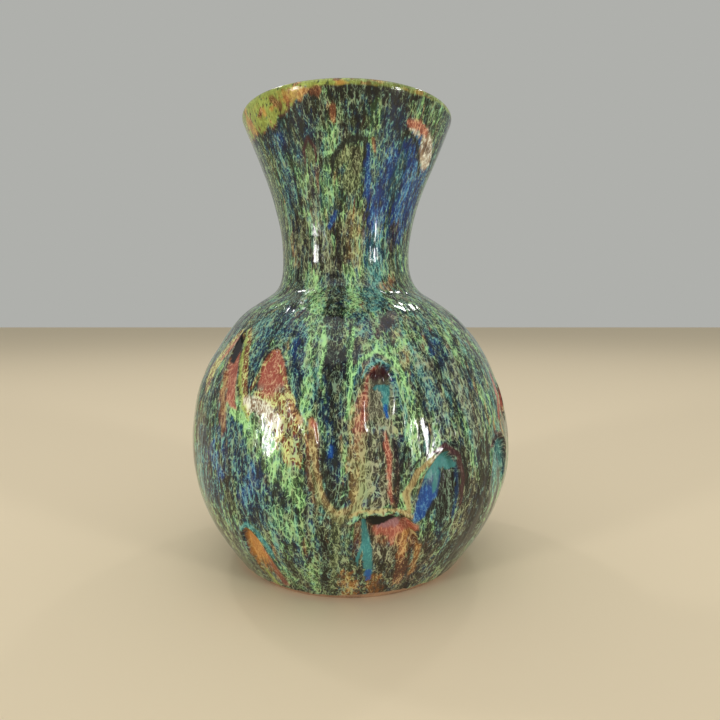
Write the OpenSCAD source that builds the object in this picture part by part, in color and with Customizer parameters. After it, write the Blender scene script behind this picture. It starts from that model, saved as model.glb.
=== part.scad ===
// Wheel-thrown stoneware bottle vase with a thick running glaze.
// The body is thrown in sections that are slipped together at the belly and
// at the root of the neck. Thumb scoops are dragged down the soft wall, the
// inside is lined with one glaze and the outside is dipped in another.
// Millimetres, +Z up, origin on the table at the middle of the foot.

/* [Body] */
// Overall height from the table to the lip
height = 280; // [270:1:290]
// Radius of the glazed wall where it meets the table
foot_r = 71; // [66:0.5:75]
// Widest radius of the belly
belly_r = 101.5; // [97:0.5:106]
// Height of the widest point of the belly
belly_z = 72; // [66:1:78]
// Radius at the steepest part of the shoulder
shoulder_r = 51; // [49:0.5:54]
// Height of the steepest part of the shoulder
shoulder_z = 168; // [162:1:172]
// Narrowest radius of the neck
neck_r = 40.5; // [38:0.5:43]
// Height of the narrowest part of the neck
neck_z = 193; // [188:1:198]
// Radius of the mouth at the lip
mouth_r = 65.5; // [60:0.5:70]

/* [Lean of the wall] */
// Lean of the wall at the foot, from upright
foot_lean = 34; // [28:1:38]
// Lean of the shoulder at its steepest, from upright
shoulder_lean = 64; // [58:1:66]
// Lean of the flared neck at the lip, from upright
mouth_lean = 21; // [16:1:26]

/* [Walls] */
// Clay thickness in the bowl
bowl_clay = 7.5; // [6.5:0.5:9]
// Clay thickness at the lip
lip_clay = 3.5; // [3:0.5:5]
// Thickness of the running glaze outside
outer_glaze = 1.5; // [1:0.1:2]
// Thickness of the lining glaze inside
liner_glaze = 1; // [0.6:0.1:1.4]
// Thickness of the slip in each joint between thrown sections
slip_t = 1; // [0.6:0.1:1.6]

/* [Foot] */
// Height of the bare foot ring, up to the edge of the glaze
foot_h = 4; // [3:0.5:6]
// Width of the foot ring on the table
foot_w = 12; // [9:0.5:15]
// Thickness of the clay floor
floor_t = 8; // [7:0.5:10]
// Chamfer around the foot ring
foot_chamfer = 0.8; // [0.4:0.1:1.2]

/* [Glaze bands] */
// Depth of the yellow-green band below the lip
rim_band = 18; // [12:1:24]

/* [Hidden] */
$fn = 96;

// How far each curve keeps the direction that it starts or ends with
foot_pull = 26;
belly_pull_down = 31;
belly_pull_up = 51;
shoulder_pull_down = 28;
shoulder_pull_up = 10;
neck_pull_down = 11;
neck_pull_up = 29;
mouth_pull = 31;
floor_pull = 20;

// Steps along each of the four curves of the outline, the steps where one
// band of glaze ends and the next begins, and those where thrown sections meet
steps = 12;
lower_top = steps;
belly_top = steps + 5;
shoulder_top = 2 * steps;
belly_joint = steps + 2;
neck_joint = 2 * steps + 3;
lip_joint = 4 * steps - 2;

// The lip is a half round across the glazed wall, square to the lean of the mouth
lip_t = outer_glaze + lip_clay + liner_glaze;
edge_z = height - lip_t / 2 * (1 + sin(mouth_lean));

// Height where the lining leaves the straight wall and turns into the floor,
// and radius of the flat middle of the floor
floor_z = foot_h + floor_t;
floor_turn_z = floor_z + 16;
floor_flat_r = 45;

// Thumb scoops: turn from the front towards +X, height of the arched top,
// length, half width, depth
SCOOPS = [
    [-48, 147, 34, 8, 3.5],
    [-25, 138, 30, 10, 3],
    [10, 130, 42, 11, 4.5],
    [9, 59, 18, 10, 6],
    [26, 87, 30, 13, 4],
    [73, 114, 24, 9, 3.5],
    [57, 88, 32, 10, 3.5],
    [-36, 45, 22, 9, 3.5],
    [104, 134, 38, 10, 4],
    [141, 96, 34, 12, 4.5],
    [176, 140, 36, 9, 4],
    [-152, 72, 26, 11, 5],
    [-118, 122, 40, 11, 4],
    [-86, 84, 30, 10, 4]
];

// Points and directions are [radius, height]
function up(lean) = [sin(lean), cos(lean)];
function unit(v) = v / norm(v);
function back(points) = [for (i = [len(points) - 1 : -1 : 0]) points[i]];

function bezier(a, b, c, d, t) =
    pow(1 - t, 3) * a + 3 * pow(1 - t, 2) * t * b + 3 * (1 - t) * t * t * c + t * t * t * d;

function curve(a, b, c, d, first) =
    [for (i = [first : steps]) bezier(a, b, c, d, i / steps)];

foot_at = [foot_r, 0];
belly_at = [belly_r, belly_z];
shoulder_at = [shoulder_r, shoulder_z];
neck_at = [neck_r, neck_z];
mouth_at = [mouth_r, edge_z];

// The glazed outside, from the table up to the lip
OUTLINE = concat(
    curve(foot_at, foot_at + foot_pull * up(foot_lean),
          belly_at - belly_pull_down * up(0), belly_at, 0),
    curve(belly_at, belly_at + belly_pull_up * up(0),
          shoulder_at - shoulder_pull_down * up(-shoulder_lean), shoulder_at, 1),
    curve(shoulder_at, shoulder_at + shoulder_pull_up * up(-shoulder_lean),
          neck_at - neck_pull_down * up(0), neck_at, 1),
    curve(neck_at, neck_at + neck_pull_up * up(0),
          mouth_at - mouth_pull * up(mouth_lean), mouth_at, 1)
);
top = len(OUTLINE) - 1;

// Direction up the wall and out of it at a step of the outline
function along(i) =
    i == top ? up(mouth_lean) : unit(OUTLINE[min(i + 1, top)] - OUTLINE[max(i - 1, 0)]);
function outward(i) = [along(i)[1], -along(i)[0]];

// The wall's inner faces at a step: back of the outer glaze, back of the clay,
// and face of the lining. The clay thins evenly from the foot to the lip.
function clay_t(i) = bowl_clay + (lip_clay - bowl_clay) * OUTLINE[i][1] / edge_z;
function clay_at(i) = OUTLINE[i] - outer_glaze * outward(i);
function liner_at(i) = clay_at(i) - clay_t(i) * outward(i);
function inside_at(i) = liner_at(i) - liner_glaze * outward(i);

function outside_face(a, b) = [for (i = [a : b]) OUTLINE[i]];
function clay_face(a, b) = [for (i = [a : b]) clay_at(i)];
function liner_face(a, b) = [for (i = [a : b]) liner_at(i)];
function inside_face(a, b) = [for (i = [a : b]) inside_at(i)];

// First step at or above a height
function step_at(z, i = 0) = OUTLINE[i][1] >= z || i == top ? i : step_at(z, i + 1);
foot_step = step_at(foot_h + 1);
floor_step = step_at(floor_turn_z);
rim_step = step_at(height - rim_band);

// Outside and clay radius at any height
WALL = [for (p = OUTLINE) [p[1], p[0]]];
CLAY = [for (i = [0 : top]) [clay_at(i)[1], clay_at(i)[0]]];
function wall_at(z) = [lookup(z, WALL), z];
function wall_out(z) =
    let (rise = unit(wall_at(z + 1) - wall_at(z - 1)))
    [rise[1], -rise[0]];
foot_clay_at = [lookup(foot_h, CLAY), foot_h];

// The dished floor, from the straight wall in to the axis
function floor_curve(from, z) = [for (i = [1 : steps])
    bezier(from, from - floor_pull * along(floor_step), [floor_flat_r, z], [0, z], i / steps)];

// Half round over the lip between two faces of the wall, outside to inside
function over_lip(outer, inner) = [for (i = [1 : steps - 1])
    let (turn = 180 * i / steps)
    (outer + inner) / 2
        + norm(outer - inner) / 2 * (cos(turn) * outward(top) + sin(turn) * along(top))];

// A point of the wall moved up by the thickness of a joint's slip
function above_slip(point, i) = point + slip_t * along(i);

// A solid round a straight line with a round top: the shape that a thumb leaves
module thumb(r, length) {
    rotate_extrude() {
        intersection() {
            circle(r);
            translate([0, -r]) square([r, 2 * r]);
        }
        translate([0, -length]) square([r, length]);
    }
}

// Every scoop as the space that it leaves, made larger by grow on all sides
module scoops(grow) {
    for (s = SCOOPS) {
        half = s[3];
        depth = s[4];
        r = (half * half + depth * depth) / (2 * depth);
        high = s[1] - half;
        low = high - s[2];
        start = wall_at(high) + (r - depth) * wall_out(high);
        end = wall_at(low) + (r + outer_glaze) * wall_out(low);
        lean = atan2(end[0] - start[0], start[1] - end[1]);
        rotate([0, 0, s[0]])
            translate([0, -start[0], start[1]])
                rotate([-lean, 0, 0])
                    thumb(r + grow, norm(end - start));
    }
}

// A section of the wall turned from its outline
module turned(points) {
    rotate_extrude() polygon(points);
}

// The same with the scoops pressed in, down to the back of the glaze
module pressed(points) {
    difference() {
        turned(points);
        scoops(outer_glaze);
    }
}

// A ring of slip between the sections that meet at a step
module joint_slip(i) {
    color("tan")
        pressed([clay_at(i), above_slip(clay_at(i), i), above_slip(liner_at(i), i), liner_at(i)]);
}

module foot_ring() {
    base = foot_clay_at[0] - foot_h * tan(foot_lean);
    inner = base - foot_w;
    color("rosybrown")
        turned([
            [inner + foot_chamfer, 0], [base - foot_chamfer, 0], [base, foot_chamfer],
            foot_clay_at, [inner, foot_h], [inner, foot_chamfer]
        ]);
}

module lower_bowl() {
    color("rosybrown")
        pressed(concat(
            [[0, foot_h], foot_clay_at],
            clay_face(foot_step, belly_joint),
            back(liner_face(floor_step, belly_joint)),
            floor_curve(liner_at(floor_step), floor_z)
        ));
}

module belly_joint_slip() {
    joint_slip(belly_joint);
}

module upper_bowl() {
    color("rosybrown")
        pressed(concat(
            [above_slip(clay_at(belly_joint), belly_joint)],
            clay_face(belly_joint + 1, neck_joint),
            back(liner_face(belly_joint + 1, neck_joint)),
            [above_slip(liner_at(belly_joint), belly_joint)]
        ));
}

module neck_joint_slip() {
    joint_slip(neck_joint);
}

module neck() {
    color("rosybrown")
        turned(concat(
            [above_slip(clay_at(neck_joint), neck_joint)],
            clay_face(neck_joint + 1, lip_joint),
            back(liner_face(neck_joint + 1, lip_joint)),
            [above_slip(liner_at(neck_joint), neck_joint)]
        ));
}

module lip() {
    color("rosybrown")
        turned(concat(
            clay_face(lip_joint, top),
            over_lip(clay_at(top), liner_at(top)),
            back(liner_face(lip_joint, top))
        ));
}

module bowl_liner() {
    color("darkseagreen")
        turned(concat(
            [[0, floor_z]],
            back(floor_curve(liner_at(floor_step), floor_z)),
            liner_face(floor_step, neck_joint),
            back(inside_face(floor_step, neck_joint)),
            floor_curve(inside_at(floor_step), floor_z + liner_glaze)
        ));
}

module neck_liner() {
    color("darkseagreen")
        turned(concat(liner_face(neck_joint, top), back(inside_face(neck_joint, top))));
}

module lower_coat() {
    color("darkolivegreen")
        pressed(concat(
            [foot_clay_at, wall_at(foot_h)],
            outside_face(foot_step, lower_top),
            back(clay_face(foot_step, lower_top))
        ));
}

module belly_coat() {
    color("seagreen")
        pressed(concat(
            outside_face(lower_top, belly_top),
            back(clay_face(lower_top, belly_top))
        ));
}

module shoulder_coat() {
    color("darkslategray")
        pressed(concat(
            outside_face(belly_top, shoulder_top),
            back(clay_face(belly_top, shoulder_top))
        ));
}

module neck_coat() {
    color("steelblue")
        turned(concat(
            outside_face(shoulder_top, rim_step),
            back(clay_face(shoulder_top, rim_step))
        ));
}

module rim_coat() {
    color("yellowgreen")
        turned(concat(
            outside_face(rim_step, top),
            over_lip(OUTLINE[top], inside_at(top)),
            [inside_at(top), liner_at(top)],
            back(over_lip(clay_at(top), liner_at(top))),
            back(clay_face(rim_step, top))
        ));
}

// The thin glaze left on the face of each scoop
module scoop_glaze() {
    color("indianred")
        difference() {
            intersection() {
                turned(concat([[0, foot_h], wall_at(foot_h)],
                              outside_face(foot_step, shoulder_top), [[0, shoulder_z]]));
                scoops(outer_glaze);
            }
            scoops(0);
        }
}

foot_ring();
lower_bowl();
belly_joint_slip();
upper_bowl();
neck_joint_slip();
neck();
lip();
bowl_liner();
neck_liner();
lower_coat();
belly_coat();
shoulder_coat();
neck_coat();
rim_coat();
scoop_glaze();
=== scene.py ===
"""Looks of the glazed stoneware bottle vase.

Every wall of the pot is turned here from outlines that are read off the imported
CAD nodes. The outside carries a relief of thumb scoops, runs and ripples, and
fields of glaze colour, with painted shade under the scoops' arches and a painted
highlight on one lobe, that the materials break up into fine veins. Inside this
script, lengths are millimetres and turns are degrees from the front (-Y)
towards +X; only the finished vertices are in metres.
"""
import math
from collections import namedtuple

import bpy
import numpy as np
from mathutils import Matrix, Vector
from mathutils.bvhtree import BVHTree


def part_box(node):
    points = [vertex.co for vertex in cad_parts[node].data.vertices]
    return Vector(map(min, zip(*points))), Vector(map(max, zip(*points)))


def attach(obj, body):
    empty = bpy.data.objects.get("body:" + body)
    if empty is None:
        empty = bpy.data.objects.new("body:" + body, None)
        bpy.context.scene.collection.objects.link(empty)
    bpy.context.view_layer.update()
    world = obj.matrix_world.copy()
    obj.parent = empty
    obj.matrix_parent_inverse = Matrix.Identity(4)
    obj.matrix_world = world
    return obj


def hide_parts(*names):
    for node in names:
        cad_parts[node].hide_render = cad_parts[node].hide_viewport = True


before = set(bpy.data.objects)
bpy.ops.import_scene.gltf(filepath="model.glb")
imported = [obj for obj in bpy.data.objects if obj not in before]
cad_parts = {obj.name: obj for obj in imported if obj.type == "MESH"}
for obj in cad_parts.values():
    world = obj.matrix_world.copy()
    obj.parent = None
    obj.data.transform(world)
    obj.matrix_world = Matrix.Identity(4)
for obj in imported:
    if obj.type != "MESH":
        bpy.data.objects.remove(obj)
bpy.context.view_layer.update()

MM = 0.001
BODY = "root"

# ------------------------------------------------------------- noise fields
DIRECTIONS = np.array([
    [1, 1, 0], [-1, 1, 0], [1, -1, 0], [-1, -1, 0], [1, 0, 1], [-1, 0, 1], [1, 0, -1], [-1, 0, -1],
    [0, 1, 1], [0, -1, 1], [0, 1, -1], [0, -1, -1], [1, 1, 0], [-1, 1, 0], [0, -1, 1], [0, -1, -1]
], float)


def lattice(p, seed):
    """Smooth gradient noise, about -1 to 1, at the rows of p."""
    cell = np.floor(p).astype(np.int64)
    f = p - cell
    ease = f * f * f * (f * (f * 6 - 15) + 10)
    total = np.zeros(len(p))
    for corner in range(8):
        d = np.array([corner & 1, corner >> 1 & 1, corner >> 2 & 1])
        c = cell + d
        h = c[:, 0] * 374761393 + c[:, 1] * 668265263 + c[:, 2] * 1274126177 + seed * 951274213
        h = (h ^ (h >> 13)) * 1103515245 & 0x7FFFFFFF
        slope = DIRECTIONS[(h ^ (h >> 16)) & 15]
        weight = np.prod(np.where(d == 1, ease, 1 - ease), axis=1)
        total += weight * np.einsum("ij,ij->i", slope, f - d)
    return total


def noise(p, size, seed, octaves=3, gain=0.5):
    """Layered noise; size is the length of its largest waves along each axis."""
    total, amount, reach = np.zeros(len(p)), 1.0, 0.0
    for k in range(octaves):
        total += amount * lattice(p / np.asarray(size, float) * 2 ** k + 17.3 * k, seed + k)
        reach += amount
        amount *= gain
    return total / reach * 1.6


def step(low, high, x):
    """Smooth step from 0 at low to 1 at high."""
    t = np.clip((x - low) / (high - low), 0, 1)
    return t * t * (3 - 2 * t)


def bump(x, centre, width):
    return np.exp(-((x - centre) / width) ** 2)


# ----------------------------------------------------------------- outlines
GLAZE_NODES = ["lower_coat", "belly_coat", "shoulder_coat", "neck_coat", "rim_coat"]
CUT_TURN = -67.0          # a side that no scoop reaches
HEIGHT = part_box("rim_coat")[1].z / MM
GLAZE_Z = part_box("lower_coat")[0].z / MM
FOOT_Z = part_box("foot_ring")[1].z / MM
FLOOR_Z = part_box("bowl_liner")[0].z / MM
GLAZE_T = (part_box("lower_coat")[1].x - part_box("lower_bowl")[1].x) / MM
LINER_T = 1.0
LIP_DROP = 6.0            # below the lip, where the wall is still straight
LIP_LEAN = 1.5            # outward shift of the middle of the lip's curve
CAST_STEP = 0.5           # height between two rays
FAR = 200.0               # start of a ray from outside the pot
BOWL_MID = 60.0           # height in the middle of the hollow of the bowl
SMOOTHING = 3.0           # length over which the CAD outline's facets are smoothed


def trees(nodes):
    graph = bpy.context.evaluated_depsgraph_get()
    return [BVHTree.FromObject(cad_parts[n], graph) for n in nodes]


def cast(bvhs, start, heading):
    """First (radius, height) that a ray in the cut's half plane meets."""
    turn = math.radians(CUT_TURN)
    side = Vector((math.sin(turn), -math.cos(turn), 0.0))
    origin = (side * start[0] + Vector((0, 0, start[1]))) * MM
    way = side * heading[0] + Vector((0, 0, heading[1]))
    hits = [h for h in (b.ray_cast(origin, way) for b in bvhs) if h[0] is not None]
    point = min(hits, key=lambda h: h[3])[0] / MM
    return point.dot(side), point.z


def fan(bvhs, start, leans, inward_from=None):
    """Rays round a point: outward from it, or back to it from a distance."""
    points = []
    for lean in np.radians(leans):
        heading = (math.cos(lean), math.sin(lean))
        if inward_from is None:
            points.append(cast(bvhs, start, heading))
        else:
            far = (start[0] + inward_from * heading[0], start[1] + inward_from * heading[1])
            points.append(cast(bvhs, far, (-heading[0], -heading[1])))
    return np.array(points)


def arc_length(path):
    return np.concatenate([[0.0], np.cumsum(np.hypot(*np.diff(path, axis=0).T))])


def even(path, spacing):
    """The path with evenly spaced points."""
    s = arc_length(path)
    t = np.linspace(0, s[-1], max(int(s[-1] / spacing), 2) + 1)
    return np.c_[np.interp(t, s, path[:, 0]), np.interp(t, s, path[:, 1])]


def smooth(path, width=SMOOTHING, spacing=0.5):
    """The path with its facets smoothed away and its two ends kept."""
    path = even(path, spacing)
    reach = int(4 * width / spacing)
    before = 2 * path[0] - path[reach:0:-1]
    after = 2 * path[-1] - path[-2:-reach - 2:-1]
    k = np.exp(-0.5 * (np.arange(-reach, reach + 1) * spacing / width) ** 2)
    padded = np.vstack([before, path, after])
    return np.c_[[np.convolve(padded[:, i], k / k.sum(), "valid") for i in (0, 1)]].T


def outline():
    """Outside from the table up over the lip, lining from the floor up, and where the lip starts."""
    glaze, liner = trees(GLAZE_NODES), trees(["bowl_liner", "neck_liner"])
    straight = HEIGHT - LIP_DROP
    levels = np.arange(GLAZE_Z + 0.6, straight, CAST_STEP)
    wall = np.array([cast(glaze, (FAR, z), (-1, 0)) for z in levels])
    rise = wall[10] - wall[0]
    toe = wall[0] - rise * wall[0, 1] / rise[1]
    wall = smooth(np.vstack([toe, wall]))
    levels = np.arange(BOWL_MID, straight, CAST_STEP)
    inner = np.array([cast(liner, (0, z), (1, 0)) for z in levels])
    lip_r = (wall[-1, 0] - inner[-1, 0]) / 2
    lip_mid = ((wall[-1, 0] + inner[-1, 0]) / 2 + LIP_LEAN, HEIGHT - lip_r)
    lip = fan(trees(["rim_coat", "neck_liner"]), lip_mid, np.arange(-15, 196, 10), 20)
    lip = smooth(np.vstack([wall[-1], lip]), 0.7)
    bowl = fan(liner, (0, BOWL_MID), np.arange(-90, 0, 2))
    inner = smooth(np.vstack([bowl, inner, lip[-1]]), 2.0)
    return np.vstack([wall, lip[1:]]), inner, len(wall)


OUTER, INNER, LIP_START = outline()
OUTER_S = arc_length(OUTER)
WALL_Z = OUTER[:LIP_START, 1]


def normals_of(path):
    """Unit vectors to the right of the path, so outward on a wall that is drawn upward."""
    along = np.gradient(path, axis=0)
    along /= np.hypot(*along.T)[:, None]
    return np.c_[along[:, 1], -along[:, 0]]


OUTER_N = normals_of(OUTER)
INNER_N = normals_of(INNER)
INNER_S = arc_length(INNER)


def s_at(z):
    """Length up the outline at a height below the lip."""
    return np.interp(z, WALL_Z, OUTER_S[:LIP_START])


def on_outline(s, depth=0.0):
    """Radius and height at a length up the outline and a depth below it, and the normals there."""
    r, z = (np.interp(s, OUTER_S, OUTER[:, i]) for i in (0, 1))
    nr, nz = (np.interp(s, OUTER_S, OUTER_N[:, i]) for i in (0, 1))
    return r - depth * nr, z - depth * nz, nr, nz


# The neck leans a little to the left of the belly, as a hand-thrown one does
LEAN_Z = [0, 60, 95, 112, 160, 188, 212, 240, 290]
LEAN_X = [0, 0.6, 0.2, -0.8, -0.9, -3.2, -2.6, -2.0, -1.8]


def lean_x(z):
    """Sideways shift of the pot's axis at a height."""
    smooth_z = np.linspace(0, 300, 301)
    line = np.interp(smooth_z, LEAN_Z, LEAN_X)
    k = bump(np.arange(-30, 31), 0, 10)
    padded = np.pad(line, 30, "edge")
    return np.interp(z, smooth_z, np.convolve(padded, k / k.sum(), "valid"))


# ------------------------------------------------------------------- scoops
# Thumb scoops dragged down the soft wall. top and foot are (turn, height) of
# the arched top and of the end; w is the half width at the top and the foot;
# crown is the height of the arch; depth is at the top; peak below 2 makes the
# arch pointed; roll is the height of the thick glaze round the arch; steep is
# the width of its edge. glaze names the colour under the arch and for how far
# down, then lower down, and on the left and right edges. Black and maroon under
# the arch are painted shade below its steep top edge; the other colours there
# are glaze.
Scoop = namedtuple("Scoop", "top foot w crown depth peak roll steep glaze")
SCOOPS = {
    "left_slot": Scoop((-49.5, 147.5), (-40, 106), (2.6, 9), 5, 3.4, 1.4, 0.4, 2.8,
        ("black", 10, "red", "lime", "lime")),
    "red_lobe": Scoop((-26, 139), (-22, 101), (5, 13), 12, 1.2, 1.8, 0.3, 3,
        ("blush", 18, "cream", "rust", "rust")),
    "orange_tip": Scoop((-10, 107), (-8.5, 82), (2, 3), 4, 0.8, 1.6, 0.3, 1.8,
        ("red", 9, "rust", "rust", "tan")),
    "centre_arch": Scoop((11, 131.5), (9.5, 84), (6, 11), 10, 4.2, 1.9, 0.6, 4,
        ("maroon", 6, "grey", "blush", "navy")),
    "pocket": Scoop((9.5, 58.5), (13, 30), (14.5, 19), 6, 7, 2.4, 1, 1.6,
        ("black", 6, "rust", "mint", "tan")),
    "right_arch": Scoop((29, 88), (24.5, 50), (8.5, 16), 13, 3.2, 1.6, 0.4, 3,
        ("teal", 7, "brown", "tan", "maroon")),
    "far_right": Scoop((74, 115), (64, 86), (6, 9), 8, 3, 1.5, 0.5, 2.4,
        ("red", 14, "rust", "red", "red")),
    "right_low": Scoop((58, 89), (56, 50), (9, 13), 10, 3.2, 1.8, 0.6, 2.6,
        ("maroon", 3, "teal", "maroon", "maroon")),
    "teardrop": Scoop((-33.8, 45), (-31.5, 5), (5.4, 9.5), 8, 2.6, 1.5, 0.6, 2.4,
        ("ochre", 26, "ochre", "navy", "teal")),
    "side_tall": Scoop((104, 135), (101, 88), (8, 12), 10, 3.8, 1.8, 0.8, 3,
        ("maroon", 6, "rust", "ochre", "lime")),
    "back_wide": Scoop((141, 97), (138, 56), (9, 15), 11, 4, 1.7, 0.8, 2.8,
        ("teal", 7, "brown", "ochre", "maroon")),
    "back_tall": Scoop((176, 141), (178, 96), (5, 14), 8, 3.2, 1.6, 0.7, 3,
        ("red", 15, "cream", "rust", "rust")),
    "back_pocket": Scoop((-152, 73), (-149, 42), (13, 17), 5, 5.6, 2.3, 0.9, 1.8,
        ("black", 3.2, "red", "lime", "mint")),
    "left_tall": Scoop((-118, 123), (-115, 74), (8, 13), 9, 3.9, 1.8, 0.8, 3,
        ("maroon", 6, "tan", "rust", "teal")),
    "left_low": Scoop((-86, 85), (-84, 48), (8, 14), 10, 3.6, 1.7, 0.8, 2.8,
        ("teal", 8, "cobalt", "lime", "rust")),
}


HOODED = 4.5                            # scoops deeper than this have a hood over them
SHOULDER_DENT = (-68.0, 138.0, 1.8)     # turn, height and depth of the flat by the left slot


def wrap(turn):
    return (turn + 180) % 360 - 180


def half_width(c, t):
    """Half width of a scoop, without its arch, at a share of its length."""
    return c.w[0] + (c.w[1] - c.w[0]) * np.clip(t, 0, 1)


def in_scoop(c, turn, s, r):
    """Place in a scoop: share of its length, distance inside its edge, side offset and drop, in mm."""
    (turn_a, z_a), (turn_b, z_b) = c.top, c.foot
    s_a, s_b = s_at(z_a), s_at(z_b)
    drop = s_a - s
    t = drop / (s_a - s_b)
    middle = turn_a + (turn_b - turn_a) * np.clip(t, -0.2, 1.2)
    across = np.radians(wrap(turn - middle)) * r
    up = np.clip(1 - drop / c.crown, 0, 1)
    arch = np.clip(1 - up ** c.peak, 0, 1) ** (1 / c.peak)
    half = half_width(c, t) * arch
    inside = np.minimum(half - np.abs(across), drop * 0.9 + 0.2)
    return t, np.where(drop > 0, inside, -np.hypot(np.abs(across), drop)), across, drop


def scoop_relief(turn, s, r):
    """Height of the scoops and of the rolls round them, and the pull of the pocket's hood down over it."""
    height, hood = np.zeros(len(turn)), np.zeros(len(turn))
    for c in SCOOPS.values():
        t, e, across, drop = in_scoop(c, turn, s, r)
        near = (t > -0.6) & (t < 1.4) & (np.abs(across) < 45)
        t, e, drop = t[near], e[near], drop[near]
        fade = 1 - step(0.08, 0.95, t)
        depth = c.depth * fade * step(0, c.steep, e)
        roll = c.roll * bump(e, -1.3, 1.6) * (1 - step(0.2, 0.85, t)) * step(-0.5, -0.05, t)
        height[near] += roll - depth
        if c.depth > HOODED:
            hood[near] += 1.8 * bump(drop, 0.0, 2.6) * step(-3, 3, e)
    dent_turn, dent_z, dent_depth = SHOULDER_DENT
    height -= dent_depth * bump(wrap(turn - dent_turn), 0, 18) * bump(s, s_at(dent_z), 17)
    return height, hood


# ------------------------------------------------------------ glaze mixtures
def linear(rgb):
    c = np.array(rgb, float) / 255
    return np.where(c <= 0.04045, c / 12.92, ((c + 0.055) / 1.055) ** 2.4)


def opaque(rgb):
    return (*linear(rgb), 1)


# Each mixture: its dark pits, its body and its pale veins
MIX = {name: np.array([linear(c) for c in colours]) for name, colours in {
    "forest": [(16, 32, 22), (54, 90, 62), (142, 186, 128)],
    "mint": [(34, 58, 32), (92, 142, 84), (166, 216, 142)],
    "navy": [(10, 28, 52), (30, 74, 120), (112, 164, 148)],
    "cobalt": [(12, 42, 104), (30, 92, 168), (96, 158, 190)],
    "teal": [(24, 62, 68), (64, 136, 134), (120, 176, 162)],
    "brown": [(26, 20, 14), (78, 68, 50), (144, 146, 114)],
    "olive": [(32, 40, 24), (90, 100, 64), (154, 168, 120)],
    "grey": [(50, 44, 34), (106, 104, 84), (164, 166, 134)],
    "blush": [(122, 58, 48), (162, 84, 70), (216, 182, 142)],
    "mauve": [(98, 64, 70), (150, 104, 106), (188, 154, 150)],
    "rust": [(84, 46, 30), (146, 88, 56), (192, 150, 100)],
    "red": [(116, 56, 44), (168, 92, 74), (206, 152, 122)],
    "maroon": [(24, 14, 16), (72, 40, 42), (120, 96, 88)],
    "tan": [(88, 68, 38), (146, 124, 78), (192, 180, 126)],
    "crackle": [(92, 44, 22), (142, 78, 46), (206, 210, 134)],
    "lime": [(110, 106, 42), (138, 152, 72), (178, 196, 106)],
    "cream": [(136, 108, 82), (196, 184, 154), (244, 242, 226)],
    "ochre": [(146, 92, 44), (192, 134, 66), (212, 168, 98)],
    "black": [(8, 9, 8), (30, 36, 30), (108, 130, 108)],
    # the last mixture is painted shadow, not glaze: near black, laid where an overhang shades a recess
    "void": [(3, 3, 3), (8, 7, 6), (16, 14, 12)],
}.items()}

def read_strokes(text):
    """Strokes from lines of text: mixture, veins, softness, strength, calm and points."""
    rows = []
    for line in text.strip().splitlines():
        if not line.startswith("#"):
            mix, *values = line.split()
            veins, soft, strength, calm, *points = map(float, values)
            rows.append((mix, veins, soft, strength, calm, np.reshape(points, (-1, 3))))
    return rows
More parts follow.
